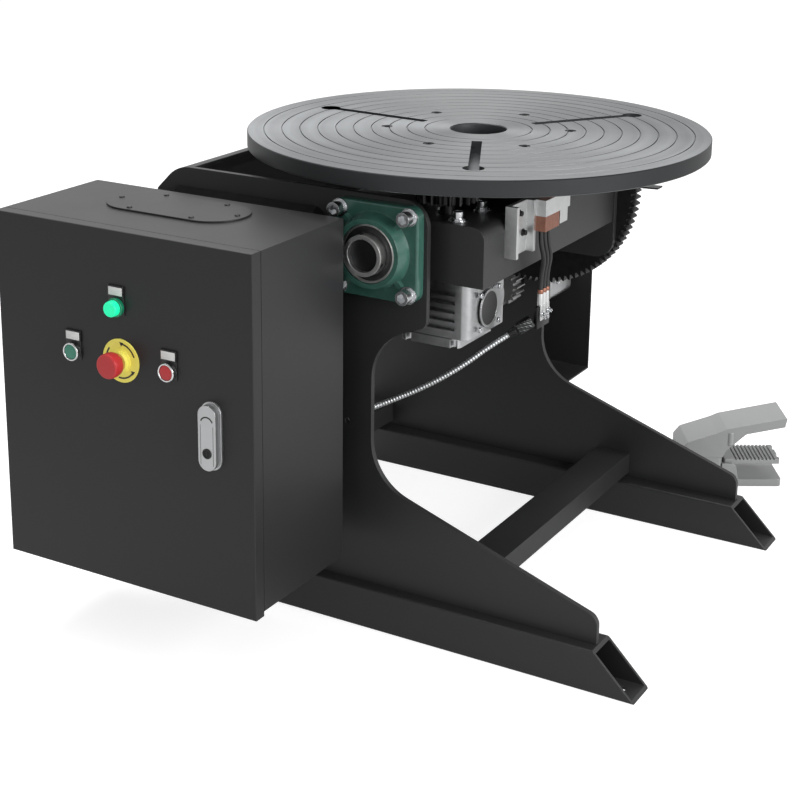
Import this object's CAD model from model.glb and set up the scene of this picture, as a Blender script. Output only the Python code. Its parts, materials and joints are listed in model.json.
"""Dresses the tilting welding turntable: finishes, turned table, cords and fittings."""

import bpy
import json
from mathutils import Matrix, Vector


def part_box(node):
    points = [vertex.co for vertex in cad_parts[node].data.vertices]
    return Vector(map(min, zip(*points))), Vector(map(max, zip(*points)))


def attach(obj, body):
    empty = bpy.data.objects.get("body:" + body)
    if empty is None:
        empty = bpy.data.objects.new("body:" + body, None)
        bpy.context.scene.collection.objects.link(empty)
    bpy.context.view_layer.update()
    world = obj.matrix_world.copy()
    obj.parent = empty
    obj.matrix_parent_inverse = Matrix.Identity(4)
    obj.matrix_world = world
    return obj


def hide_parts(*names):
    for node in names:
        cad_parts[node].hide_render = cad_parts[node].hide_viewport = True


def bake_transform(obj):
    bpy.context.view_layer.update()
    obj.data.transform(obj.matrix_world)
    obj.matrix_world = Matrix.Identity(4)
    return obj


bl_info = {
    "name": "Welding turntable dressing",
    "version": (1, 0, 0),
    "blender": (4, 5, 0),
    "location": "View3D > Sidebar > Turntable",
    "description": "Finishes, fittings and cords of a tilting welding turntable",
    "category": "Object",
}

import json
import math

import bmesh
import bpy
from mathutils import Matrix, Vector

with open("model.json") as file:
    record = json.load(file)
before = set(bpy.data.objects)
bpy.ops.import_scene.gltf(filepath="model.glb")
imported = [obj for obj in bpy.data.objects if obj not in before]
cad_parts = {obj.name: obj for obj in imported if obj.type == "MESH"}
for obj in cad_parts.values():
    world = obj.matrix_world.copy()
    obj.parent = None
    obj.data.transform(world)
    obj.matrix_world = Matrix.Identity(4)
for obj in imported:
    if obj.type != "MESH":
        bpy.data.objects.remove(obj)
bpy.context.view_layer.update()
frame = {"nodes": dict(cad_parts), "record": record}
MM = 0.001
FULL_TURN = 2 * math.pi
AXES = {
    "x": Vector((1, 0, 0)),
    "-x": Vector((-1, 0, 0)),
    "y": Vector((0, 1, 0)),
    "-y": Vector((0, -1, 0)),
    "z": Vector((0, 0, 1)),
}


# ------------------------------------------------------------ shaders
def linear(hex_colour):
    """A colour written as sRGB hex, as the linear values that a shader takes."""
    parts = [int(hex_colour[i:i + 2], 16) / 255 for i in (1, 3, 5)]
    return tuple(c / 12.92 if c <= 0.04045 else ((c + 0.055) / 1.055) ** 2.4 for c in parts)


def add_node(tree, kind, sockets=None, **settings):
    """A node with its settings, and its sockets set to values or linked to other sockets."""
    node = tree.nodes.new(kind)
    for name, value in settings.items():
        setattr(node, name, value)
    for name, value in (sockets or {}).items():
        if isinstance(value, bpy.types.NodeSocket):
            tree.links.new(value, node.inputs[name])
        else:
            node.inputs[name].default_value = value
    return node


def new_material(name):
    """An empty material, its node tree and the Object coordinates of what wears it."""
    material = bpy.data.materials.new(name)
    material.use_nodes = True
    tree = material.node_tree
    tree.nodes.clear()
    return material, tree, add_node(tree, "ShaderNodeTexCoord").outputs["Object"]


def calculate(tree, operation, *values):
    """The result of one sum on values or sockets."""
    return add_node(tree, "ShaderNodeMath", dict(enumerate(values)),
                    operation=operation).outputs[0]


def noise(tree, vector, size, detail):
    """Cloudy noise whose patches are a number of mm across."""
    return add_node(tree, "ShaderNodeTexNoise", {
        "Vector": vector, "Scale": 1 / (size * MM), "Detail": detail}).outputs["Fac"]


def ring_noise(tree, reach, size, detail):
    """Noise that only changes with the distance from the axis."""
    return add_node(tree, "ShaderNodeTexNoise", {
        "W": reach, "Scale": 1 / (size * MM), "Detail": detail},
        noise_dimensions="1D").outputs["Fac"]


def tint(colour, share):
    """A colour made darker or lighter."""
    return [min(1, c * share) for c in colour] + [1]


def mix(tree, share, first, second):
    """A colour between two others."""
    return add_node(tree, "ShaderNodeMix", {0: share, 6: first, 7: second},
                    data_type="RGBA").outputs[2]


def close_material(tree, sockets):
    """The surface shader and the output."""
    shader = add_node(tree, "ShaderNodeBsdfPrincipled", sockets)
    add_node(tree, "ShaderNodeOutputMaterial", {"Surface": shader.outputs["BSDF"]})


ROUGH_SPREAD = 0.06


def finish_of(name, colour, roughness, cloud=(80, 0.08), grain=(1.2, 0.02), edge=1.0,
              stretch=(1, 1, 1), **sockets):
    """A finish with cloudy tone, surface grain and softened edges. cloud is the size of its
    patches in mm and their strength, grain the size and depth in mm of its relief, edge the
    radius in mm of its edges, and stretch how much closer the grain lies along each axis."""
    material, tree, place = new_material(name)
    patches = noise(tree, place, cloud[0], 4.0)
    tone = mix(tree, patches, tint(colour, 1 - cloud[1]), tint(colour, 1 + cloud[1]))
    rough = add_node(tree, "ShaderNodeMapRange", {
        "Value": patches, "To Min": roughness - ROUGH_SPREAD, "To Max": roughness + ROUGH_SPREAD})
    spread = add_node(tree, "ShaderNodeMapping", {"Vector": place, "Scale": stretch})
    relief = noise(tree, spread.outputs["Vector"], grain[0], 2.0)
    rounded = add_node(tree, "ShaderNodeBevel", {"Radius": edge * MM}, samples=6)
    bump = add_node(tree, "ShaderNodeBump", {
        "Height": relief, "Distance": grain[1] * MM, "Strength": 1.0,
        "Normal": rounded.outputs["Normal"]})
    close_material(tree, {"Base Color": tone, "Roughness": rough.outputs["Result"],
                          "Normal": bump.outputs["Normal"], **sockets})
    return material


def turned_table_steel(name, colour, pitch, rim_reach, top):
    """Blued steel faced on a lathe: fine rings about the table's axis, which draw the
    light into two bright fans, and a darker skin in the grooves and on the rim."""
    material, tree, place = new_material(name)
    flat = add_node(tree, "ShaderNodeVectorMath", {0: place, 1: (1, 1, 0)}, operation="MULTIPLY")
    reach = add_node(tree, "ShaderNodeVectorMath", {0: flat.outputs["Vector"]},
                     operation="LENGTH").outputs["Value"]
    cuts = ring_noise(tree, reach, pitch, 3.0)
    marks = calculate(tree, "ADD", cuts, ring_noise(tree, reach, 22, 2.0))
    both = calculate(tree, "ADD", marks, noise(tree, place, 110, 5.0))
    share = add_node(tree, "ShaderNodeMapRange", {
        "Value": both, "From Min": 1.05, "From Max": 1.95}).outputs["Result"]
    tone = mix(tree, share, tint(colour, 0.80), tint(colour, 1.16))
    rough = add_node(tree, "ShaderNodeMapRange", {"Value": cuts, "To Min": 0.30, "To Max": 0.46})
    tangent = add_node(tree, "ShaderNodeTangent", direction_type="RADIAL", axis="Z")
    bump = add_node(tree, "ShaderNodeBump", {
        "Height": cuts, "Distance": 0.02 * MM, "Strength": 1.0})
    height = add_node(tree, "ShaderNodeSeparateXYZ", {0: place}).outputs["Z"]
    rim = calculate(tree, "GREATER_THAN", reach, rim_reach * MM)
    groove = calculate(tree, "COMPARE", calculate(tree, "SUBTRACT", top * MM, height),
                       0.75 * MM, 0.65 * MM)
    dull = calculate(tree, "MAXIMUM", rim, groove)
    close_material(tree, {
        "Base Color": mix(tree, dull, tone, tint(colour, 0.26)),
        "Roughness": rough.outputs["Result"], "Metallic": 1.0, "Anisotropic": 0.65,
        "Tangent": tangent.outputs["Tangent"], "Normal": bump.outputs["Normal"]})
    return material


class FinishSettings(bpy.types.PropertyGroup):
    """Colours of the machine's paints, metals and plastics."""
    frame_paint: bpy.props.FloatVectorProperty(
        name="Frame paint", description="Powder coat of the frame and the tilting beam",
        subtype="COLOR", default=linear("#1f1f20"))
    cabinet_paint: bpy.props.FloatVectorProperty(
        name="Cabinet paint", description="Satin powder coat of the drive cabinet",
        subtype="COLOR", default=linear("#262627"))
    bearing_enamel: bpy.props.FloatVectorProperty(
        name="Bearing enamel", description="Green enamel of the flange bearings",
        subtype="COLOR", default=linear("#34594f"))
    table_steel: bpy.props.FloatVectorProperty(
        name="Table steel", description="Turned face of the table",
        subtype="COLOR", default=linear("#7f8183"))
    pedal_enamel: bpy.props.FloatVectorProperty(
        name="Pedal enamel", description="Silver grey enamel of the foot pedal",
        subtype="COLOR", default=linear("#8f9090"))
    edge_radius: bpy.props.FloatProperty(
        name="Edge radius", description="How far paint rounds the edges of sheet and plate",
        subtype="DISTANCE", default=1.2 * MM, min=0)


CUT_PITCH = 2.6       # mm between the lathe's lines on the table
RIM_SKIN = 0.4        # mm of the table's rim that keep its dark skin
STRAND_PITCH = 3.0    # mm between the strands of the braid
FINISHES = {}
# slot or use: name, colour or the setting that holds it, roughness, and how finish_of shapes
# it. Its edge is the edge radius of the settings where no other is given.
FINISH_TABLE = {
    # polyester powder coat, baked: a fine even orange peel that keeps black paint satin
    "frame_paint": ("powder_coat_black", "frame_paint", 0.5, {"grain": (2.2, 0.035)}),
    "cabinet_paint": ("powder_coat_satin_black", "cabinet_paint", 0.4, {
        "cloud": (160, 0.06), "grain": (1.8, 0.02), "Specular IOR Level": 0.3}),
    # gloss enamel over sand-cast iron: pooled and slightly lumpy, with sharp highlights
    "bearing_paint": ("enamel_on_cast_iron", "bearing_enamel", 0.22, {
        "cloud": (14, 0.25), "grain": (3.0, 0.10), "edge": 1.6}),
    # ground bearing steel: bright, with faint lines round the ring
    "bearing_steel": ("ground_steel", "#e2e2e0", 0.3, {
        "cloud": (9, 0.12), "grain": (0.6, 0.008), "edge": 0.8, "Metallic": 1.0}),
    # bright zinc plate: slightly blue-white and a little uneven
    "zinc_steel": ("zinc_plated_steel", "#c9cbcd", 0.24, {
        "cloud": (5, 0.18), "grain": (0.8, 0.012), "edge": 0.6, "Metallic": 1.0}),
    # steel left as it came off the lathe
    "turned_steel": ("turned_steel", "#9a9a99", 0.30, {
        "cloud": (20, 0.12), "grain": (0.8, 0.01), "edge": 1.0, "Metallic": 1.0}),
    # black oxide on cut steel, rubbed bright on the corners of the teeth
    "black_steel": ("black_oxide_steel", "#343435", 0.42, {
        "cloud": (12, 0.3), "grain": (1.0, 0.03), "edge": 0.7, "Metallic": 1.0}),
    # oiled steel of the shafts and of the strip under the brush
    "dark_shaft": ("oiled_dark_steel", "#333334", 0.42, {
        "cloud": (30, 0.15), "grain": (1.0, 0.01), "edge": 0.8, "Metallic": 1.0}),
    # die-cast aluminium, tumbled: pale, with a fine sandy skin
    "cast_aluminium": ("die_cast_aluminium", "#adaeaf", 0.32, {
        "cloud": (10, 0.22), "grain": (1.4, 0.06), "edge": 1.2, "Metallic": 1.0}),
    # milled aluminium plate: parallel cutter lines a third of a millimetre apart
    "aluminium_plate": ("milled_aluminium", "#cccdcd", 0.4, {
        "cloud": (8, 0.12), "grain": (2.4, 0.02), "edge": 0.6, "stretch": (6, 6, 0.3),
        "Metallic": 1.0}),
    # bare copper, handled: browned in patches
    "copper": ("bare_copper", "#93695a", 0.5, {
        "cloud": (7, 0.3), "grain": (0.8, 0.02), "edge": 0.6, "Metallic": 1.0}),
    # rubber sheath of a welding lead: dull black
    "cable_sheath": ("rubber_sheath", "#141415", 0.5, {
        "cloud": (10, 0.2), "grain": (0.7, 0.02), "edge": 0}),
    # galvanised strip wound into hose
    "conduit_steel": ("galvanised_strip", "#b4b6b7", 0.34, {
        "cloud": (6, 0.25), "grain": (0.9, 0.02), "edge": 0, "Metallic": 0.85}),
    # moulded ABS and polyamide housings inside the cabinet
    "drive_plastic": ("moulded_abs_grey", "#4c4f53", 0.5, {"grain": (0.8, 0.02), "edge": 0.8}),
    "switch_plastic": ("moulded_polyamide", "#d4d3cd", 0.45, {
        "grain": (0.8, 0.02), "edge": 0.8}),
    # nickel and chrome plated zinc castings
    "chrome_ring": ("chromed_zinc", "#dcdddd", 0.12, {
        "cloud": (6, 0.06), "grain": (3, 0.004), "edge": 0.6, "Metallic": 1.0}),
    # satin chrome on the latch, brushed before plating
    "latch_satin": ("satin_chromed_zinc", "#b9babb", 0.34, {
        "cloud": (16, 0.05), "grain": (1.2, 0.008), "edge": 1.8, "stretch": (5, 5, 0.4),
        "Metallic": 0.9}),
    # moulded plastics of the controls
    "yellow_plastic": ("yellow_legend_disc", "#fbee6e", 0.5, {
        "cloud": (12, 0.05), "grain": (0.6, 0.008), "edge": 0.4}),
    "green_plastic": ("green_button_plastic", "#3f8570", 0.38, {
        "cloud": (8, 0.06), "grain": (0.8, 0.01), "edge": 0.8}),
    "red_plastic": ("red_moulded_plastic", "#bd2f32", 0.42, {
        "cloud": (12, 0.05), "grain": (0.9, 0.01), "edge": 1.2}),
    "lamp_green": ("lit_green_lens", "#12805c", 0.25, {
        "cloud": (6, 0.15), "grain": (1.5, 0.02), "edge": 0.8}),
    "lamp_cap": ("glowing_green_cap", "#1edfa2", 0.35, {
        "cloud": (6, 0.08), "grain": (1.5, 0.02), "edge": 0.8,
        "Emission Color": (*linear("#12e0a0"), 1), "Emission Strength": 0.55}),
    # hammered silver enamel over cast aluminium
    "pedal_paint": ("silver_hammer_enamel", "pedal_enamel", 0.42, {
        "cloud": (25, 0.05), "grain": (2.4, 0.06), "edge": 2.0, "Metallic": 0.25}),
    # small moulded, engraved and printed parts, and the nitrile lip of a seal
    "black_plastic": ("moulded_black_plastic", "#161617", 0.4, {
        "grain": (0.7, 0.015), "edge": 0.6}),
    "label_white": ("engraved_label_laminate", "#dcdcda", 0.4, {
        "cloud": (8, 0.04), "grain": (0.8, 0.008), "edge": 0.3}),
    "print_black": ("printed_ink", "#1a1a18", 0.5, {
        "cloud": (5, 0.1), "grain": (0.5, 0.005), "edge": 0}),
    "seal_rubber": ("nitrile_seal", "#101011", 0.45, {
        "cloud": (8, 0.15), "grain": (0.8, 0.02), "edge": 0.5}),
}
# built parts whose finish is not that of their slot
OWN_FINISH = {
    "table_gear": "black_steel",
    "table_pinion": "black_steel",
    "table_spindle": "dark_shaft",
    "latch_handle": "latch_satin",
    "latch_base": "latch_satin",
    "tilt_shaft_left": "dark_shaft",
    "tilt_shaft_right": "dark_shaft",
}


def braided_sleeve(name, colour, pitch):
    """Tinned braid over a hose end: crossing strands that glint at each crossing."""
    material, tree, place = new_material(name)
    heights = []
    for lean in (1, -1):
        turned = add_node(tree, "ShaderNodeMapping", {
            "Vector": place, "Rotation": (0.3, math.radians(48) * lean, 0.5)})
        strands = add_node(tree, "ShaderNodeTexWave", {
            "Vector": turned.outputs["Vector"], "Scale": FULL_TURN / 20 / (pitch * MM)})
        heights.append(strands.outputs["Fac"])
    weave = calculate(tree, "MULTIPLY", *heights)
    bump = add_node(tree, "ShaderNodeBump", {
        "Height": weave, "Distance": 0.5 * MM, "Strength": 1.0})
    close_material(tree, {
        "Base Color": mix(tree, weave, tint(colour, 0.25), tint(colour, 1)), "Metallic": 0.8,
        "Roughness": 0.35, "Normal": bump.outputs["Normal"]})
    return material


class MACHINE_OT_finishes(bpy.types.Operator):
    """Makes every finish and gives the built parts theirs"""
    bl_idname = "machine.finishes"
    bl_label = "Finishes"

    def execute(self, context):
        own = context.scene.machine_finish
        for use, (name, colour, roughness, looks) in FINISH_TABLE.items():
            shade = linear(colour) if colour.startswith("#") else getattr(own, colour)
            FINISHES[use] = finish_of(name, shade, roughness,
                                      **{"edge": own.edge_radius / MM, **looks})
        rim = corners("table")[1]
        FINISHES["table_steel"] = turned_table_steel(
            "faced_table_steel", own.table_steel, CUT_PITCH, rim.x - RIM_SKIN, rim.z)
        FINISHES["braid"] = braided_sleeve("braided_tin_sleeve", linear("#5a5b5c"), STRAND_PITCH)
        slots = {part["node"]: part["material_slot"] for part in frame["record"]["subparts"]}
        slots.update(OWN_FINISH)
        for node, obj in frame["nodes"].items():
            obj.data.materials.clear()
            obj.data.materials.append(FINISHES[slots[node]])
        return {"FINISHED"}


# ------------------------------------------------------------ shapes
def new_object(name, data):
    """An object of the scene."""
    obj = bpy.data.objects.new(name, data)
    bpy.context.scene.collection.objects.link(obj)
    return obj


def direction(axis):
    """A named axis, or a vector, as a unit vector."""
    return AXES[axis] if isinstance(axis, str) else Vector(axis).normalized()


def place(at, axis="z"):
    """The matrix that puts a shape made along Z at a point, in mm, pointing along an axis."""
    turn = direction(axis).to_track_quat("Z", "Y").to_matrix().to_4x4()
    return Matrix.Translation(Vector(at) * MM) @ turn


def make_piece(name, bm, finish, body, shade_angle=35):
    """Closes a bmesh into a piece at the origin, smooth where its faces meet flatly. Its slot
    is the one that its finish is named after, if no other is given."""
    bmesh.ops.remove_doubles(bm, verts=bm.verts, dist=1e-7)
    bmesh.ops.recalc_face_normals(bm, faces=bm.faces)
    for face in bm.faces:
        face.smooth = True
    for edge in bm.edges:
        if len(edge.link_faces) == 2:
            edge.smooth = edge.calc_face_angle(0) < math.radians(shade_angle)
    mesh = bpy.data.meshes.new(name)
    bm.to_mesh(mesh)
    bm.free()
    mesh.materials.append(FINISHES[finish])
    obj = new_object(name, mesh)
    if body:
        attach(obj, body)
    return obj


def rounded(bm, edges, width, segments=2):
    """Rounds edges to a width in mm."""
    bmesh.ops.bevel(bm, geom=edges, offset=width * MM, offset_type="OFFSET", segments=segments,
                    profile=0.5, affect="EDGES", clamp_overlap=True, material=-1)


def add_disc(bm, at, axis, radius, height, sides=32, edge=0.0):
    """A round bar from a point along an axis, its far rim rounded. Sizes are in mm."""
    made = bmesh.ops.create_cone(
        bm, cap_ends=True, segments=sides, radius1=radius * MM,
        radius2=radius * MM, depth=height * MM,
        matrix=place(at, axis) @ Matrix.Translation((0, 0, height * MM / 2)))
    if edge:
        way = direction(axis)
        far = [f for v in made["verts"] for f in v.link_faces
               if len(f.verts) == sides and f.normal.dot(way) > 0.9]
        rounded(bm, list({e for f in far for e in f.edges}), edge)
    return made


def add_block(bm, low, high, edge=0.0, turn=None):
    """A block between two corners in mm, its edges rounded, turned by a matrix if given."""
    low, high = Vector(low) * MM, Vector(high) * MM
    fit = Matrix.Translation((low + high) / 2) @ Matrix.Diagonal((*(high - low), 1))
    made = bmesh.ops.create_cube(bm, size=1, matrix=(turn or Matrix.Identity(4)) @ fit)
    if edge:
        rounded(bm, list({e for v in made["verts"] for e in v.link_edges}), edge)


def add_turned(bm, profile, at, axis, steps=48, closed=True):
    """A profile of (radius, height) points in mm, turned once round an axis."""
    frame_at = place(at, axis)
    verts = [bm.verts.new(frame_at @ Vector((r * MM, 0, h * MM))) for r, h in profile]
    pairs = list(zip(verts, verts[1:] + verts[:1] if closed else verts[1:]))
    edges = [bm.edges.new(pair) for pair in pairs]
    bmesh.ops.spin(bm, geom=verts + edges, cent=frame_at.translation,
                   axis=direction(axis), dvec=(0, 0, 0), angle=FULL_TURN,
                   steps=steps, use_merge=True, use_duplicate=False)


def turned_piece(name, profile, at, axis, finish, body, steps=64, closed=True,
                 shade_angle=35):
    """A piece made of one turned profile."""
    bm = bmesh.new()
    add_turned(bm, profile, at, axis, steps, closed)
    return make_piece(name, bm, finish, body, shade_angle)


def add_socket_screw(bm, at, axis, radius, height, socket):
    """The head of a socket screw: a rounded cylinder with a six-sided hole."""
    frame_at = place(at, axis)
    way = direction(axis)
    made = add_disc(bm, at, axis, radius, height, 36)
    cap = [f for v in made["verts"] for f in v.link_faces
           if len(f.verts) == 36 and f.normal.dot(way) > 0.9][0]
    bmesh.ops.inset_region(bm, faces=[cap], thickness=radius * 0.1 * MM, depth=0)
    bmesh.ops.translate(bm, verts=cap.verts, vec=way * radius * 0.08 * MM)
    bmesh.ops.inset_region(bm, faces=[cap], thickness=(radius * 0.9 - socket * 1.05) * MM, depth=0)
    for vert in cap.verts:
        spot = frame_at.inverted() @ vert.co
        angle = math.atan2(spot.y, spot.x) % (math.pi / 3) - math.pi / 6
        reach = socket * MM * math.cos(math.pi / 6) / math.cos(angle)
        flat = Vector((spot.x, spot.y, 0)).normalized() * reach
        vert.co = frame_at @ Vector((flat.x, flat.y, spot.z))
    bmesh.ops.inset_region(bm, faces=[cap], thickness=0, depth=0)
    bmesh.ops.translate(bm, verts=cap.verts, vec=-way * height * 0.55 * MM)


def add_bolt(bm, at, axis, radius, washer):
    """A socket screw on a plain washer and a spring washer, standing on a face."""
    way = direction(axis)
    add_turned(bm, [(radius * 0.6, 0), (washer, 0), (washer, radius * 0.26),
                    (radius * 0.6, radius * 0.26)], at, axis, 36)
    spot = Vector(at) + way * radius * 0.26
    add_turned(bm, [(radius * 0.6, 0), (washer * 0.82, 0), (washer * 0.82, radius * 0.3),
                    (radius * 0.6, radius * 0.3)], spot, axis, 36)
    add_socket_screw(bm, spot + way * radius * 0.3, axis, radius, radius * 1.25, radius * 0.55)


def middle(node):
    """The middle of a built part's box, in mm."""
    low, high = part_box(node)
    return (low + high) / 2 / MM


def corners(node):
    """The corners of a built part's box, in mm."""
    low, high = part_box(node)
    return low / MM, high / MM


# ------------------------------------------------------------ turned table
class TableSettings(bpy.types.PropertyGroup):
    """The turned face of the table."""
    groove_count: bpy.props.IntProperty(
        name="Grooves", description="Centring grooves in the face", default=10, min=0)
    groove_reach: bpy.props.FloatProperty(
        name="Outer groove", description="Radius of the outermost groove",
        subtype="DISTANCE", default=380.5 * MM)
    groove_pitch: bpy.props.FloatProperty(
        name="Groove pitch", description="From one groove to the next",
        subtype="DISTANCE", default=31.7 * MM)
    groove_width: bpy.props.FloatProperty(
        name="Groove width", description="Width of a groove at the face",
        subtype="DISTANCE", default=2.4 * MM)
    groove_depth: bpy.props.FloatProperty(
        name="Groove depth", description="Depth of a groove", subtype="DISTANCE", default=1.6 * MM)
    edge: bpy.props.FloatProperty(
        name="Edge", description="Chamfer of the rim", subtype="DISTANCE", default=1.5 * MM)


TABLE_BORE = 50
SLOT = {"count": 3, "angle": 56, "inner": 112, "outer": 325, "neck": 9, "wide": 15,
        "neck_depth": 10, "depth": 21, "mouth": 18}
SINK = {"count": 6, "angle": 26, "reach": 163, "radius": 10, "depth": 13, "bolt": 6}


def cut_away(obj, cutters):
    """Cuts a list of shapes out of a piece, for good."""
    for cutter in cutters:
        step = obj.modifiers.new("cut", "BOOLEAN")
        step.operation = "DIFFERENCE"
        step.solver = "EXACT"
        step.object = cutter
    bpy.context.view_layer.update()
    result = bpy.data.meshes.new_from_object(
        obj.evaluated_get(bpy.context.evaluated_depsgraph_get()))
    obj.modifiers.clear()
    obj.data = result
    for cutter in cutters:
        bpy.data.objects.remove(cutter)


def cutter_from(bm):
    """A shape that only cuts another one."""
    bmesh.ops.recalc_face_normals(bm, faces=bm.faces)
    mesh = bpy.data.meshes.new("cutter")
    bm.to_mesh(mesh)
    bm.free()
    obj = bpy.data.objects.new("cutter", mesh)
    bpy.context.scene.collection.objects.link(obj)
    return obj


class MACHINE_OT_table(bpy.types.Operator):
    """Makes the faced table with its grooves, T-slots and sunk bolt holes"""
    bl_idname = "machine.table"
    bl_label = "Turned table"

    def execute(self, context):
        own = context.scene.machine_table
        low, high = corners("table")
        edge = own.edge / MM
        profile = [(TABLE_BORE, low.z), (high.x - edge, low.z), (high.x, low.z + edge),
                   (high.x, high.z - edge), (high.x - edge, high.z)]
        half, deep = own.groove_width / MM / 2, own.groove_depth / MM
        for i in range(own.groove_count):
            reach = (own.groove_reach - i * own.groove_pitch) / MM
            profile += [(reach + half, high.z), (reach + half * 0.5, high.z - deep),
                        (reach - half * 0.5, high.z - deep), (reach - half, high.z)]
        profile += [(TABLE_BORE + 1.5, high.z), (TABLE_BORE, high.z - 1.5)]
        bm = bmesh.new()
        add_turned(bm, profile, (0, 0, 0), "z", steps=200)
        table = make_piece("faced_table", bm, "table_steel", "turntable", 25)
        cutters = []
        over = 5
        for i in range(SLOT["count"]):
            turn = Matrix.Rotation(math.radians(SLOT["angle"] + 360 / SLOT["count"] * i), 4, "Z")
            top, shelf = high.z + over, high.z - SLOT["neck_depth"]
            floor = high.z - SLOT["depth"]
            for half, roof in ((SLOT["neck"], top), (SLOT["wide"], shelf)):
                bm = bmesh.new()
                add_block(bm, (SLOT["inner"], -half, floor), (SLOT["outer"], half, roof),
                          turn=turn)
                cutters.append(cutter_from(bm))
            bm = bmesh.new()
            mouth = turn @ Vector((SLOT["outer"], 0, floor))
            add_disc(bm, mouth, "z", SLOT["mouth"], top - floor, 40)
            cutters.append(cutter_from(bm))
        for i in range(SINK["count"]):
            angle = math.radians(SINK["angle"] + 360 / SINK["count"] * i)
            x, y = SINK["reach"] * math.cos(angle), SINK["reach"] * math.sin(angle)
            for radius, floor in ((SINK["radius"], high.z - SINK["depth"]),
                                  (SINK["bolt"], low.z - over)):
                bm = bmesh.new()
                add_disc(bm, (x, y, floor), "z", radius, high.z + over - floor, 28)
                cutters.append(cutter_from(bm))
        cut_away(table, cutters)
        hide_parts("table")
        return {"FINISHED"}


# ------------------------------------------------------------ cords
# points of each route, in mm; a route's line is the smooth curve that they guide
CONDUIT_ROUTE = [
    (149.0, -150.0, 505.0), (121.6, -171.6, 484.2), (87.0, -197.0, 452.0), (53.0, -218.0, 426.5),
    (22.0, -232.5, 407.0), (-7.0, -244.3, 391.2), (-35.7, -260.5, 376.8), (-53.0, -280.0, 369.5),
    (-62.0, -304.0, 366.0), (-62.0, -330.0, 366.0),
]
CABLE_TOPS = (-131.4, -117.4, -103.4)
CABLE_LUGS = (-112.0, -100.0, -88.0)


class CordSettings(bpy.types.PropertyGroup):
    """The hose and the cables."""
    conduit_diameter: bpy.props.FloatProperty(
        name="Conduit", description="Outside diameter of the wound hose",
        subtype="DISTANCE", default=10 * MM)
    conduit_pitch: bpy.props.FloatProperty(
        name="Conduit pitch", description="From one ridge of the hose to the next",
        subtype="DISTANCE", default=5.2 * MM)
    cable_diameter: bpy.props.FloatProperty(
        name="Brush cable", description="Outside diameter of a brush cable",
        subtype="DISTANCE", default=8 * MM)


def route_curve(name, route, radius=0.0, fineness=24):
    """A smooth curve guided by a route's points, as thick as asked."""
    data = bpy.data.curves.new(name, "CURVE")
    data.dimensions = "3D"
    data.resolution_u = fineness
    data.bevel_depth = radius
    data.bevel_resolution = 4
    data.use_fill_caps = radius > 0
    spline = data.splines.new("NURBS")
    spline.points.add(len(route) - 1)
    for point, spot in zip(spline.points, route):
        point.co = (*(Vector(spot) * MM), 1)
    spline.order_u = 3
    spline.use_endpoint_u = True
    return new_object(name, data)


def curve_line(route, fineness=24):
    """The points that a route's smooth curve passes through."""
    guide = route_curve("guide", route, fineness=fineness)
    bpy.context.view_layer.update()
    mesh = bpy.data.meshes.new_from_object(guide)
    line = [v.co.copy() for v in mesh.vertices]
    bpy.data.objects.remove(guide)
    bpy.data.meshes.remove(mesh)
    return line


def brush_route(i):
    """The route of one brush cable, from the copper bar down to its lug."""
    brush, bar, lug = middle("brush"), corners("copper_bar")[0].z, corners("cable_terminal")[1].z
    side, y, end = brush.x - 6, CABLE_TOPS[i], CABLE_LUGS[i]
    return [(brush.x, y, bar), (brush.x, y, bar - 24), (brush.x + 3, (y + end) / 2 + 2, bar - 54),
            (side, end, lug + 33), (side, end, lug)]


class MACHINE_OT_cords(bpy.types.Operator):
    """Makes the wound hose to the frame and the cables of the earth brush"""
    bl_idname = "machine.cords"
    bl_label = "Cords"

    def execute(self, context):
        own = context.scene.machine_cords
        line = curve_line(CONDUIT_ROUTE, 64)
        guide = route_curve("guide", CONDUIT_ROUTE, own.conduit_diameter / 2, 64)
        bpy.context.view_layer.update()
        mesh = bpy.data.meshes.new_from_object(guide)
        bpy.data.objects.remove(guide)
        bm = bmesh.new()
        bm.from_mesh(mesh)
        bpy.data.meshes.remove(mesh)
        reach = [0.0]
        for a, b in zip(line, line[1:]):
            reach.append(reach[-1] + (b - a).length)
        turns = FULL_TURN / own.conduit_pitch
        for vert in bm.verts:
            near = min(range(len(line)), key=lambda k: (line[k] - vert.co).length_squared)
            ridge = math.cos(reach[near] * turns)
            out = vert.co - line[near]
            if out.length > own.conduit_diameter / 4:
                vert.co = line[near] + out * (0.93 + 0.07 * max(-1, min(1, ridge * 2.5)))
        conduit = make_piece("wound_conduit", bm, "conduit_steel", None, 60)
        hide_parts("conduit")
        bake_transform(conduit)
        for i in range(len(CABLE_TOPS)):
            route = brush_route(i)
            line = curve_line(route)
            cable = route_curve("brush_cable_%d" % (i + 1), route, own.cable_diameter / 2)
            cable.data.materials.append(FINISHES["cable_sheath"])
            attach(cable, "tilting_body")
            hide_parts("brush_cables")
        return {"FINISHED"}


# ------------------------------------------------------------ fittings
SET_SCREWS = (-22, 98)    # degrees round the inner ring


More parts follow.
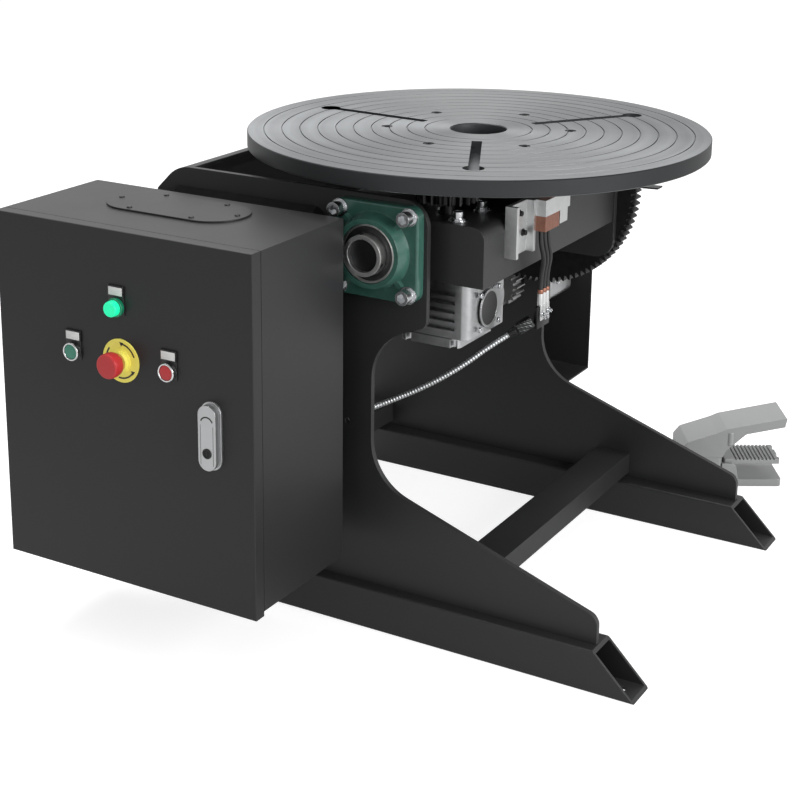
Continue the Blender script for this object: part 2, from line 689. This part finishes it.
class MACHINE_OT_bearings(bpy.types.Operator):
    """Adds the seals, bright rims and set screws of the flange bearings"""
    bl_idname = "machine.bearings"
    bl_label = "Bearing fittings"

    def execute(self, context):
        low, high = corners("bearing_races")
        for side, way, face, inward in (("left", "-y", low.y, 7.5), ("right", "y", high.y, -7.5)):
            ring = corners("bearing_ring_" + side)
            inner, axle = ring[1].x, middle("bearing_ring_" + side)
            at = (axle.x, face, axle.z)
            reach = high.x
            turned_piece("bearing_seal_" + side, [
                (inner + 0.8, 0), (reach - 4.5, 0), (reach - 5, 0.9), (reach - 8.5, 1.7),
                (inner + 5.5, 1.5), (inner + 3.5, 0.7), (inner + 0.8, 0.9)],
                at, way, "seal_rubber", "frame", 72)
            turned_piece("bearing_rim_" + side, [
                (reach - 3.9, -0.5), (reach - 0.6, -0.5), (reach - 0.6, 1.8),
                (reach - 1.2, 2.4), (reach - 3.3, 2.4), (reach - 3.9, 1.8)],
                at, way, "bearing_steel", "frame", 72)
            bm = bmesh.new()
            outer = (ring[0].y if side == "left" else ring[1].y) + inward
            for degrees in SET_SCREWS:
                angle = math.radians(degrees)
                out = Vector((math.cos(angle), 0, math.sin(angle)))
                spot = Vector((axle.x, outer, axle.z)) + out * (inner - 1.0)
                add_socket_screw(bm, spot, out, 3.6, 1.4, 1.9)
            make_piece("set_screws_" + side, bm, "black_steel", "tilting_body")
        return {"FINISHED"}


DECK_BOLTS = ((103, -266), (17, -266), (103, -182), (17, -182))
CAP_REACH = 29
CAP_SCREWS = ((-34, -30), (-34, 30), (34, -30), (34, 30))


class MACHINE_OT_deck(bpy.types.Operator):
    """Adds the bolts on the tilting beam and on its drives"""
    bl_idname = "machine.deck"
    bl_label = "Beam bolts"

    def execute(self, context):
        top = corners("tilt_beam")[1].z
        bm = bmesh.new()
        for x, y in DECK_BOLTS:
            add_bolt(bm, (x, y, top), "z", 9, 16)
        make_piece("deck_bolts", bm, "zinc_steel", "tilting_body")
        for node, body in (("table_gearbox", "tilting_body"), ("tilt_gearbox", "frame")):
            self.gearbox(node, body)
        return {"FINISHED"}

    def gearbox(self, node, body):
        """The bearing cap on one end of a gearbox, its rim and its screws."""
        low, high = corners(node)
        spot = (high.x, (low.y + high.y) / 2, (low.z + high.z) / 2)
        turned_piece(node + "_cap_rim", [
            (CAP_REACH + 4, -0.5), (CAP_REACH + 4, 1.6), (CAP_REACH, 1.6), (CAP_REACH, -0.5)],
            spot, "x", "cast_aluminium", body, 56)
        turned_piece(node + "_cap", [
            (0.01, 0.4), (CAP_REACH - 3, 0.4), (CAP_REACH, 1.0), (CAP_REACH, -0.5),
            (0.01, -0.5)], spot, "x", "black_plastic", body, 56)
        bm = bmesh.new()
        for dy, dz in CAP_SCREWS:
            add_socket_screw(bm, (high.x, spot[1] + dy, spot[2] + dz), "x", 4.6, 4, 2.4)
        make_piece(node + "_cap_screws", bm, "zinc_steel", body)


LOCK_DROP = 81        # mm from the top of the latch to its lock
COVER_SCREWS = ((-117, 0), (117, 0), (-62, -49), (62, -49), (-62, 49), (62, 49))


def add_arc(bm, at, axis, reach, width, height, start, sweep, steps=24):
    """A flat bar bent along part of a circle. Sizes are in mm and angles in degrees."""
    frame_at = place(at, axis)
    turn = Matrix.Rotation(math.radians(start), 4, "Z")
    section = [(reach - width / 2, 0), (reach + width / 2, 0),
               (reach + width / 2, height), (reach - width / 2, height)]
    verts = [bm.verts.new(frame_at @ turn @ Vector((r * MM, 0, h * MM))) for r, h in section]
    face = bm.faces.new(verts)
    bmesh.ops.spin(bm, geom=[face, *face.edges, *verts], cent=frame_at.translation,
                   axis=direction(axis), dvec=(0, 0, 0), angle=math.radians(sweep),
                   steps=steps, use_merge=False, use_duplicate=False)


# the turning arrows of the stop disc: sizes in mm, angles in degrees
ARROW = {"starts": (20, 140, 260), "sweep": 62, "reach": 28.5, "width": 2.6, "thick": 0.25,
         "head": 4.6}


class MACHINE_OT_controls(bpy.types.Operator):
    """Makes the buttons, the lamp, the stop head and their label plates"""
    bl_idname = "machine.controls"
    bl_label = "Controls"

    def execute(self, context):
        face = corners("cabinet_door")[0].y
        bezels = bmesh.new()
        plates, labels = bmesh.new(), bmesh.new()
        for colour in ("green", "red"):
            node, body = "button_" + colour, colour + "_button"
            spot = middle(node)
            at = (spot.x, face, spot.z)
            button = turned_piece("push_button_" + colour, [
                (0, -26), (10.4, -26), (10.4, 6.2), (12.1, 6.8), (12.1, 10.0), (11.5, 10.6),
                (8, 11.0), (0, 11.1)], at, "-y", colour + "_plastic", body,
                56, closed=False)
            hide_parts(node)
            add_turned(bezels, [(12.4, 1.2), (14.0, 1.2), (14.0, 3.6), (15.3, 4.6), (15.3, 10.2),
                                (14.3, 11.6), (13.1, 11.6), (12.4, 10.8)], at, "-y", 64)
            self.legend(plates, labels, at)
        lens = middle("lamp_lens")
        at = (lens.x, face, lens.z)
        self.legend(plates, labels, at)
        bezel = make_piece("button_rings", bezels, "chrome_ring", "door")
        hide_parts("button_bezels")
        make_piece("legend_holders", plates, "black_plastic", "door")
        make_piece("legend_plates", labels, "label_white", "door")
        lamp = turned_piece("lamp_lens_base", [
            (0, 1.0), (15.2, 1.0), (15.6, 2.2), (15.6, 7.0), (14.6, 8.4), (13.0, 8.8), (0, 8.8)],
            at, "-y", "lamp_green", "door", closed=False)
        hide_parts("lamp_lens")
        turned_piece("lamp_cap", [
            (0, 8.0), (12.8, 8.0), (12.6, 17.4), (11.8, 19.2), (10.6, 19.8), (9.8, 19.4),
            (5, 20.0), (0, 20.2)], at, "-y", "lamp_cap", "door", closed=False)
        self.stop(face)
        return {"FINISHED"}

    def legend(self, plates, labels, at):
        """The black holder round a control and the pale label plate that it clips."""
        x, face, z = at
        add_block(plates, (x - 15.5, face - 2.0, z - 13), (x + 15.5, face, z + 35), 0.8)
        add_block(plates, (x - 15.5, face - 3.6, z + 17), (x + 15.5, face - 1.0, z + 35), 0.8)
        add_block(labels, (x - 13.2, face - 4.3, z + 19.4), (x + 13.2, face - 3.0, z + 32.6), 0.3)

    def stop(self, face):
        """The yellow disc with its turning arrows, the collar and the mushroom head."""
        head = middle("stop_head")
        at = (head.x, face, head.z)
        disc = turned_piece("stop_legend_disc", [
            (0, 0.1), (36, 0.1), (36, 1.1), (35.5, 1.5), (0, 1.5)], at, "-y",
            "yellow_plastic", "door", 96, closed=False)
        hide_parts("stop_disc")
        bm = bmesh.new()
        lift = (at[0], face - 1.45, at[2])
        reach, thick, head_size = ARROW["reach"], ARROW["thick"], ARROW["head"] * MM
        for start in ARROW["starts"]:
            add_arc(bm, lift, "-y", reach, ARROW["width"], thick, start, ARROW["sweep"])
            tip = math.radians(start + ARROW["sweep"] + 4)
            local = place(lift, "-y") @ Matrix.Rotation(tip, 4, "Z") @ Matrix.Translation(
                (reach * MM, 0, thick / 2 * MM)) @ Matrix.Rotation(math.pi / 2, 4, "Z")
            bmesh.ops.create_cone(bm, cap_ends=True, segments=3, radius1=head_size,
                                  radius2=head_size, depth=thick * MM, matrix=local)
        make_piece("stop_turn_arrows", bm, "print_black", "door")
        turned_piece("stop_collar", [
            (12.2, 1.4), (19.5, 1.4), (19.5, 3.2), (17.2, 4.0), (17.2, 9.6), (16.0, 10.8),
            (12.2, 10.8)], at, "-y", "yellow_plastic", "door")
        head = turned_piece("stop_mushroom", [
            (0, -24), (12, -24), (12, 17.4), (18.2, 17.9), (19.6, 19.4), (20.5, 24),
            (20.5, 34), (19.8, 36.4), (18.0, 37.6), (15.0, 37.8), (0, 38.0)],
            at, "-y", "red_plastic", "emergency_stop", 72, False, 28)
        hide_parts("stop_head")


class MACHINE_OT_cabinet(bpy.types.Operator):
    """Adds the cover screws and the details of the cabinet latch"""
    bl_idname = "machine.cabinet"
    bl_label = "Cabinet fittings"

    def execute(self, context):
        low, high = corners("cabinet_cover")
        centre = (low + high) / 2
        bm = bmesh.new()
        for dx, dy in COVER_SCREWS:
            add_disc(bm, (centre.x + dx, centre.y + dy, high.z - 0.5), "z", 4.6, 2.3, 24, 1.0)
        make_piece("cover_screws", bm, "black_steel", "frame")
        x, face, top = (middle("latch_base").x, corners("latch_handle")[0].y,
                        corners("latch_base")[1].z)
        bm = bmesh.new()
        add_arc(bm, (x, face + 0.1, top - 33), "-y", 11.6, 2.2, 0.35, 22, 136, 32)
        make_piece("latch_recess", bm, "print_black", "latch")
        lock = top - LOCK_DROP
        turned_piece("latch_lock", [
            (0, -0.4), (8.4, -0.4), (8.4, 0.9), (7.6, 1.3), (6.6, 1.3), (6.2, 0.5), (0, 0.5)],
            (x, face, lock), "-y", "dark_shaft", "latch", 48, closed=False)
        bm = bmesh.new()
        add_arc(bm, (x, face - 0.3, lock), "-y", 7.2, 1.3, 1.15, 0, 359.9, 48)
        add_block(bm, (x - 0.9, face - 0.95, lock - 3.5), (x + 0.9, face - 0.3, lock + 3.5), 0.2)
        make_piece("latch_key_slot", bm, "print_black", "latch")
        bm = bmesh.new()
        for dx in (-11.8, 11.8):
            add_block(bm, (x + dx - 0.35, face - 0.12, top - 100),
                      (x + dx + 0.35, face + 0.4, top - 35))
        make_piece("latch_lever_edges", bm, "print_black", "latch")
        return {"FINISHED"}


BRACKET_BOLTS = ((-196, 690), (-164, 690), (-180, 726))
SPRING = {"turns": 9, "pitch": 3.4, "steps": 20, "reach": 4.2, "wire": 0.8, "foot": 698}


class MACHINE_OT_brush(bpy.types.Operator):
    """Adds the crimps, bolts, terminal and spring of the earth brush"""
    bl_idname = "machine.brush"
    bl_label = "Brush fittings"

    def execute(self, context):
        brush = middle("brush")
        bar = corners("copper_bar")
        lug_top = corners("cable_terminal")[1].z
        side = brush.x - 6
        bm = bmesh.new()
        for i in range(len(CABLE_TOPS)):
            add_turned(bm, [(4.1, 0), (5.3, 0), (5.1, 2.2), (4.1, 3)],
                       (brush.x, CABLE_TOPS[i], bar[0].z), (0, 0, -1), 32)
            add_turned(bm, [(4.1, 0), (5.0, 0), (5.3, 1), (5.3, 6.4), (4.9, 7.4), (4.1, 7.4)],
                       (side, CABLE_LUGS[i], lug_top), "z", 32)
        make_piece("cable_crimps", bm, "copper", "tilting_body")
        self.terminal(side, lug_top)
        bracket = corners("brush_bracket")
        bm = bmesh.new()
        for y, z in BRACKET_BOLTS:
            add_bolt(bm, (bracket[0].x + 6, y, z), "x", 4.5, 8)
        make_piece("bracket_bolts", bm, "black_steel", "tilting_body")
        bm = bmesh.new()
        foot = (bracket[0].x + 18, bracket[1].y + 4, SPRING["foot"])
        section = bmesh.ops.create_circle(
            bm, cap_ends=True, segments=8, radius=SPRING["wire"] * MM,
            matrix=place(foot, "z") @ Matrix.Translation((SPRING["reach"] * MM, 0, 0))
            @ Matrix.Rotation(math.pi / 2, 4, "X"))
        faces = list({f for v in section["verts"] for f in v.link_faces})
        bmesh.ops.spin(bm, geom=[*section["verts"], *{e for f in faces for e in f.edges}, *faces],
                       cent=Vector(foot) * MM, axis=(0, 0, 1),
                       dvec=(0, 0, SPRING["pitch"] * MM / SPRING["steps"]),
                       angle=FULL_TURN * SPRING["turns"],
                       steps=SPRING["steps"] * SPRING["turns"], use_merge=False,
                       use_duplicate=False)
        make_piece("brush_spring", bm, "zinc_steel", "tilting_body", 80)
        return {"FINISHED"}

    def terminal(self, side, lug_top):
        """The lugs, the strip that they are bolted to and the braided end of the hose."""
        shank = lug_top - 22
        bm = bmesh.new()
        for y in CABLE_LUGS:
            add_turned(bm, [(0, -22), (4.4, -22), (5.1, -19), (5.1, 0), (0, 0)],
                       (side, y, lug_top), "z", 32, closed=False)
            add_block(bm, (side + 1.5, y - 5.2, shank - 26), (side + 4.6, y + 5.2, shank + 2), 1.2)
        make_piece("cable_lugs", bm, "aluminium_plate", "tilting_body")
        bm = bmesh.new()
        low_y, high_y = CABLE_LUGS[0] - 12, CABLE_LUGS[-1] + 12
        add_block(bm, (side - 4, low_y, shank - 40), (side + 1.5, high_y, shank), 1.0)
        add_block(bm, (side - 8, low_y + 4, shank - 34), (side - 4, high_y - 16, shank - 12), 1.0)
        strip = make_piece("terminal_strip", bm, "dark_shaft", "tilting_body")
        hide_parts("cable_terminal")
        bm = bmesh.new()
        for y, drop in ((CABLE_LUGS[0], 14), (CABLE_LUGS[1] + 1, 21), (CABLE_LUGS[2], 13)):
            add_bolt(bm, (side + 4.6, y, shank - drop), "x", 3.4, 6.2)
        make_piece("terminal_bolts", bm, "zinc_steel", "tilting_body")
        start, end = Vector((side - 2, low_y, shank - 20)), Vector(CONDUIT_ROUTE[0])
        way = (end - start).normalized()
        reach = (end - start).length
        bm = bmesh.new()
        made = bmesh.ops.create_cube(bm, size=1, matrix=place(start + way * reach * 0.45, way)
                                     @ Matrix.Diagonal((17 * MM, 19 * MM, 30 * MM, 1)))
        rounded(bm, list({e for v in made["verts"] for e in v.link_edges}), 3.0, 3)
        make_piece("braided_end", bm, "braid", "tilting_body")
        turned_piece("hose_ferrule", [
            (5.1, 0), (7.6, 0), (7.6, 6), (6.6, 8), (6.6, 14), (5.1, 14)],
            end - way * 9, way, "dark_shaft", "tilting_body", 32)


# ------------------------------------------------------------ stage
# name, place and aim in metres, size in metres and power in watts
LAMPS = (
    ("key_lamp", (-1.2, 0.4, 4.4), (0, 0, 0.4), 2.8, 190),
    ("side_lamp", (4.0, -0.9, 1.9), (0, -0.4, 0.45), 2.2, 165),
    ("front_lamp", (2.3, -3.4, 3.2), (0, -0.2, 0.5), 1.4, 9),
)
PICTURE_SHIFT = -0.1875
LIGHT_OF_SKY = 0.55       # what the surroundings give to things
FLOOR_HALF = 40           # metres
FLOOR_GLOW = 0.74
FLOOR_MIRRORED = 0.3      # share of the glow that a reflection sees


class StageSettings(bpy.types.PropertyGroup):
    """Camera, light and floor."""
    camera_at: bpy.props.FloatVectorProperty(
        name="Camera", description="Where the camera stands", subtype="XYZ", unit="LENGTH",
        default=(1.3562, -2.6436, 1.4115))
    azimuth: bpy.props.FloatProperty(
        name="Azimuth", description="Which way round the machine the camera stands",
        subtype="ANGLE", default=math.radians(29.8))
    elevation: bpy.props.FloatProperty(
        name="Elevation", description="How far the camera looks down", subtype="ANGLE",
        default=math.radians(15.4))
    roll: bpy.props.FloatProperty(
        name="Roll", description="Turn of the picture", subtype="ANGLE", default=math.radians(0.7))
    lens: bpy.props.FloatProperty(
        name="Lens", description="Focal length on a 36 mm sensor", subtype="DISTANCE_CAMERA",
        default=76.4)
    floor: bpy.props.FloatVectorProperty(
        name="Floor", description="Colour of the floor", subtype="COLOR",
        default=linear("#bcbcbc"))


def add_lamp(name, at, aim, size, power):
    """A square soft lamp at a point, aimed at another."""
    data = bpy.data.lights.new(name, "AREA")
    data.size = size
    data.energy = power
    obj = new_object(name, data)
    obj.location = at
    obj.rotation_euler = (Vector(at) - Vector(aim)).to_track_quat("Z", "Y").to_euler()


def seen_directly(tree, mirrored=1.0):
    """One for what the camera or a clear part sees, a share of it for what a reflection
    sees, and nought for light on things."""
    rays = add_node(tree, "ShaderNodeLightPath")
    total = rays.outputs["Is Camera Ray"]
    for kind, share in (("Is Glossy Ray", mirrored), ("Is Transmission Ray", 1.0)):
        total = calculate(tree, "MULTIPLY_ADD", rays.outputs[kind], share, total)
    return total


class MACHINE_OT_stage(bpy.types.Operator):
    """Sets up the camera, the lamps, the pale floor and the white surroundings"""
    bl_idname = "machine.stage"
    bl_label = "Stage"

    def execute(self, context):
        own = context.scene.machine_stage
        scene = context.scene
        turn, rise = own.azimuth, own.elevation
        back = Vector((math.sin(turn) * math.cos(rise), -math.cos(turn) * math.cos(rise),
                       math.sin(rise)))
        right = Vector((math.cos(turn), math.sin(turn), 0))
        over = back.cross(right)
        right, over = (right * math.cos(own.roll) + over * math.sin(own.roll),
                       over * math.cos(own.roll) - right * math.sin(own.roll))
        data = bpy.data.cameras.new("view")
        data.lens = own.lens
        data.shift_y = PICTURE_SHIFT
        camera = new_object("view", data)
        camera.matrix_world = Matrix.Translation(own.camera_at) @ Matrix(
            (right, over, back)).transposed().to_4x4()
        scene.camera = camera
        scene.view_settings.view_transform = "Standard"
        for lamp in LAMPS:
            add_lamp(*lamp)
        world = bpy.data.worlds.new("surroundings")
        scene.world = world
        world.use_nodes = True
        tree = world.node_tree
        tree.nodes.clear()
        lit = add_node(tree, "ShaderNodeBackground", {
            "Color": (1, 1, 1, 1), "Strength": LIGHT_OF_SKY})
        way = add_node(tree, "ShaderNodeTexCoord").outputs["Generated"]
        height = add_node(tree, "ShaderNodeSeparateXYZ", {0: way}).outputs["Z"]
        fall = add_node(tree, "ShaderNodeMapRange", {
            "Value": height, "From Min": 0.25, "From Max": 0.9, "To Min": 1.0, "To Max": 0.35})
        shown = add_node(tree, "ShaderNodeBackground", {
            "Color": (1, 1, 1, 1), "Strength": fall.outputs["Result"]})
        both = add_node(tree, "ShaderNodeMixShader", {
            0: seen_directly(tree), 1: lit.outputs[0], 2: shown.outputs[0]})
        add_node(tree, "ShaderNodeOutputWorld", {"Surface": both.outputs[0]})
        material, tree, place_at = new_material("pale_floor")
        tone = mix(tree, noise(tree, place_at, 900, 2.0), tint(own.floor, 0.99),
                   tint(own.floor, 1))
        paint = add_node(tree, "ShaderNodeBsdfDiffuse", {"Color": tone})
        lift = calculate(tree, "MULTIPLY", seen_directly(tree, FLOOR_MIRRORED), FLOOR_GLOW)
        glow = add_node(tree, "ShaderNodeEmission", {"Strength": lift})
        total = add_node(tree, "ShaderNodeAddShader", {0: paint.outputs[0], 1: glow.outputs[0]})
        add_node(tree, "ShaderNodeOutputMaterial", {"Surface": total.outputs[0]})
        bm = bmesh.new()
        bmesh.ops.create_grid(bm, x_segments=1, y_segments=1, size=FLOOR_HALF)
        mesh = bpy.data.meshes.new("floor")
        bm.to_mesh(mesh)
        bm.free()
        mesh.materials.append(material)
        new_object("floor", mesh)
        return {"FINISHED"}


# ------------------------------------------------------------ panel
STEPS = (MACHINE_OT_stage, MACHINE_OT_finishes, MACHINE_OT_cords, MACHINE_OT_table,
         MACHINE_OT_bearings, MACHINE_OT_deck, MACHINE_OT_controls, MACHINE_OT_cabinet,
         MACHINE_OT_brush)


class MACHINE_PT_dressing(bpy.types.Panel):
    """Lists the steps and the settings in the sidebar"""
    bl_idname = "MACHINE_PT_dressing"
    bl_label = "Turntable dressing"
    bl_space_type = "VIEW_3D"
    bl_region_type = "UI"
    bl_category = "Turntable"

    def draw(self, context):
        layout = self.layout
        for step in STEPS:
            layout.operator(step.bl_idname)
        for holder, kind in GROUPS.items():
            box = layout.box()
            for name in kind.__annotations__:
                box.prop(getattr(context.scene, holder), name)


GROUPS = {"machine_finish": FinishSettings, "machine_table": TableSettings,
          "machine_cords": CordSettings, "machine_stage": StageSettings}


def register():
    for group in GROUPS.values():
        bpy.utils.register_class(group)
    for name, group in GROUPS.items():
        setattr(bpy.types.Scene, name, bpy.props.PointerProperty(type=group))
    for step in STEPS:
        bpy.utils.register_class(step)
    bpy.utils.register_class(MACHINE_PT_dressing)


def unregister():
    bpy.utils.unregister_class(MACHINE_PT_dressing)
    for step in reversed(STEPS):
        bpy.utils.unregister_class(step)
    for name, group in GROUPS.items():
        delattr(bpy.types.Scene, name)
        bpy.utils.unregister_class(group)


def main():
    register()
    for step in STEPS:
        group, name = step.bl_idname.split(".")
        getattr(getattr(bpy.ops, group), name)()


if __name__ == "__main__":
    main()
